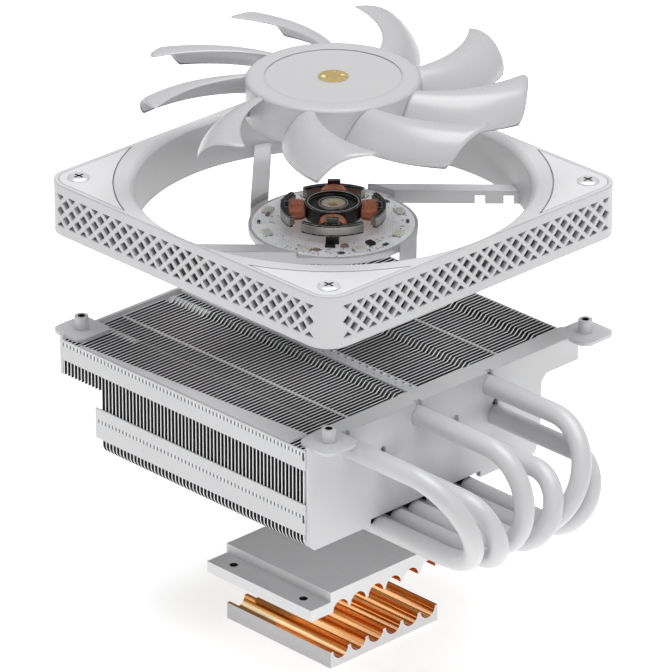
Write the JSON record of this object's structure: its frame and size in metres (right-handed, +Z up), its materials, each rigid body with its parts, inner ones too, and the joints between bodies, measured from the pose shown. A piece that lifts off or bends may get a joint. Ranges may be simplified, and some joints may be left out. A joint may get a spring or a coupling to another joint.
{
  "type": "low-profile processor cooler",
  "caption": "Low-profile down-draught processor cooler drawn lifted apart: fan rotor, slim fan frame with motor, bent heat pipes through a fin stack, screw cap and grooved base plate.",
  "frame": {"origin": "centre of the base plate's flat contact face", "axes": "+Z up, away from the processor; +X along the heat pipes towards their bends; +Y along the fins"},
  "size_m": [0.1582, 0.1204, 0.168],
  "materials": {
    "contact_metal": "satin machined, copper-coloured in the grooves",
    "cap_metal": "satin machined, copper-coloured in the grooves",
    "fin_metal": "white coated sheet",
    "plate_paint": "white powder coat",
    "pipe_paint": "white coat",
    "frame_plastic": "matt white",
    "cover_plastic": "matt white",
    "screw_steel": "plated",
    "board": "white solder mask",
    "lamp_lens": "cream",
    "chip_black": "moulded",
    "chip_tan": "ceramic",
    "chip_grey": "ceramic",
    "lamination_steel": "stamped",
    "bobbin_plastic": "glossy black",
    "coil_wire": "lacquered copper wire",
    "bearing_metal": "sintered bronze",
    "pad_plastic": "matt",
    "washer_plastic": "matt",
    "rotor_plastic": "milky translucent white",
    "insert_brass": "polished",
    "magnet": "matt",
    "yoke_steel": "plated",
    "shaft_steel": "ground"
  },
  "bodies": {
    "base": {"base_plate": "contact_metal"},
    "cap": {"cap_plate": "cap_metal"},
    "stack": {"fins": "fin_metal", "edge_strips": "fin_metal", "top_strips": "fin_metal", "front_end_plate": "plate_paint", "rear_end_plate": "plate_paint", "fan_posts": "plate_paint", "heat_pipe_1": "pipe_paint", "heat_pipe_2": "pipe_paint", "heat_pipe_3": "pipe_paint", "heat_pipe_4": "pipe_paint", "heat_pipe_5": "pipe_paint", "heat_pipe_6": "pipe_paint"},
    "fan": {"fan_frame": "frame_plastic", "corner_covers": "cover_plastic", "fan_screws": "screw_steel", "motor_board": "board", "lamps": "lamp_lens", "drive_chip": "chip_black", "hall_sensor": "chip_black", "capacitors": "chip_tan", "resistors": "chip_grey", "stator_core": "lamination_steel", "stator_bobbin": "bobbin_plastic", "coils": "coil_wire", "bearing_sleeve": "bearing_metal", "thrust_pad": "pad_plastic"},
    "washer": {"shaft_washer": "washer_plastic"},
    "rotor": {"rotor_hub": "rotor_plastic", "rotor_blades": "rotor_plastic", "hub_insert": "insert_brass", "magnet_ring": "magnet", "rotor_yoke": "yoke_steel", "rotor_shaft": "shaft_steel"}
  },
  "joints": [
    {"name": "cap_close", "type": "slide", "parent": "base", "child": "cap", "axis": [0, 0, 1], "range_m": [-0.01305, 0]},
    {"name": "stack_lower", "type": "slide", "parent": "cap", "child": "stack", "axis": [0, 0, 1], "range_m": [-0.0233, 0]},
    {"name": "fan_lower", "type": "slide", "parent": "stack", "child": "fan", "axis": [0, 0, 1], "range_m": [-0.03225, 0]},
    {"name": "rotor_lower", "type": "slide", "parent": "fan", "child": "washer", "axis": [0, 0, 1], "range_m": [-0.0333, 0]},
    {"name": "rotor_spin", "type": "hinge", "parent": "washer", "child": "rotor", "pos_m": [-0.013, 0.013, 0.1679], "axis": [0, 0, 1], "continuous": true}
  ]
}
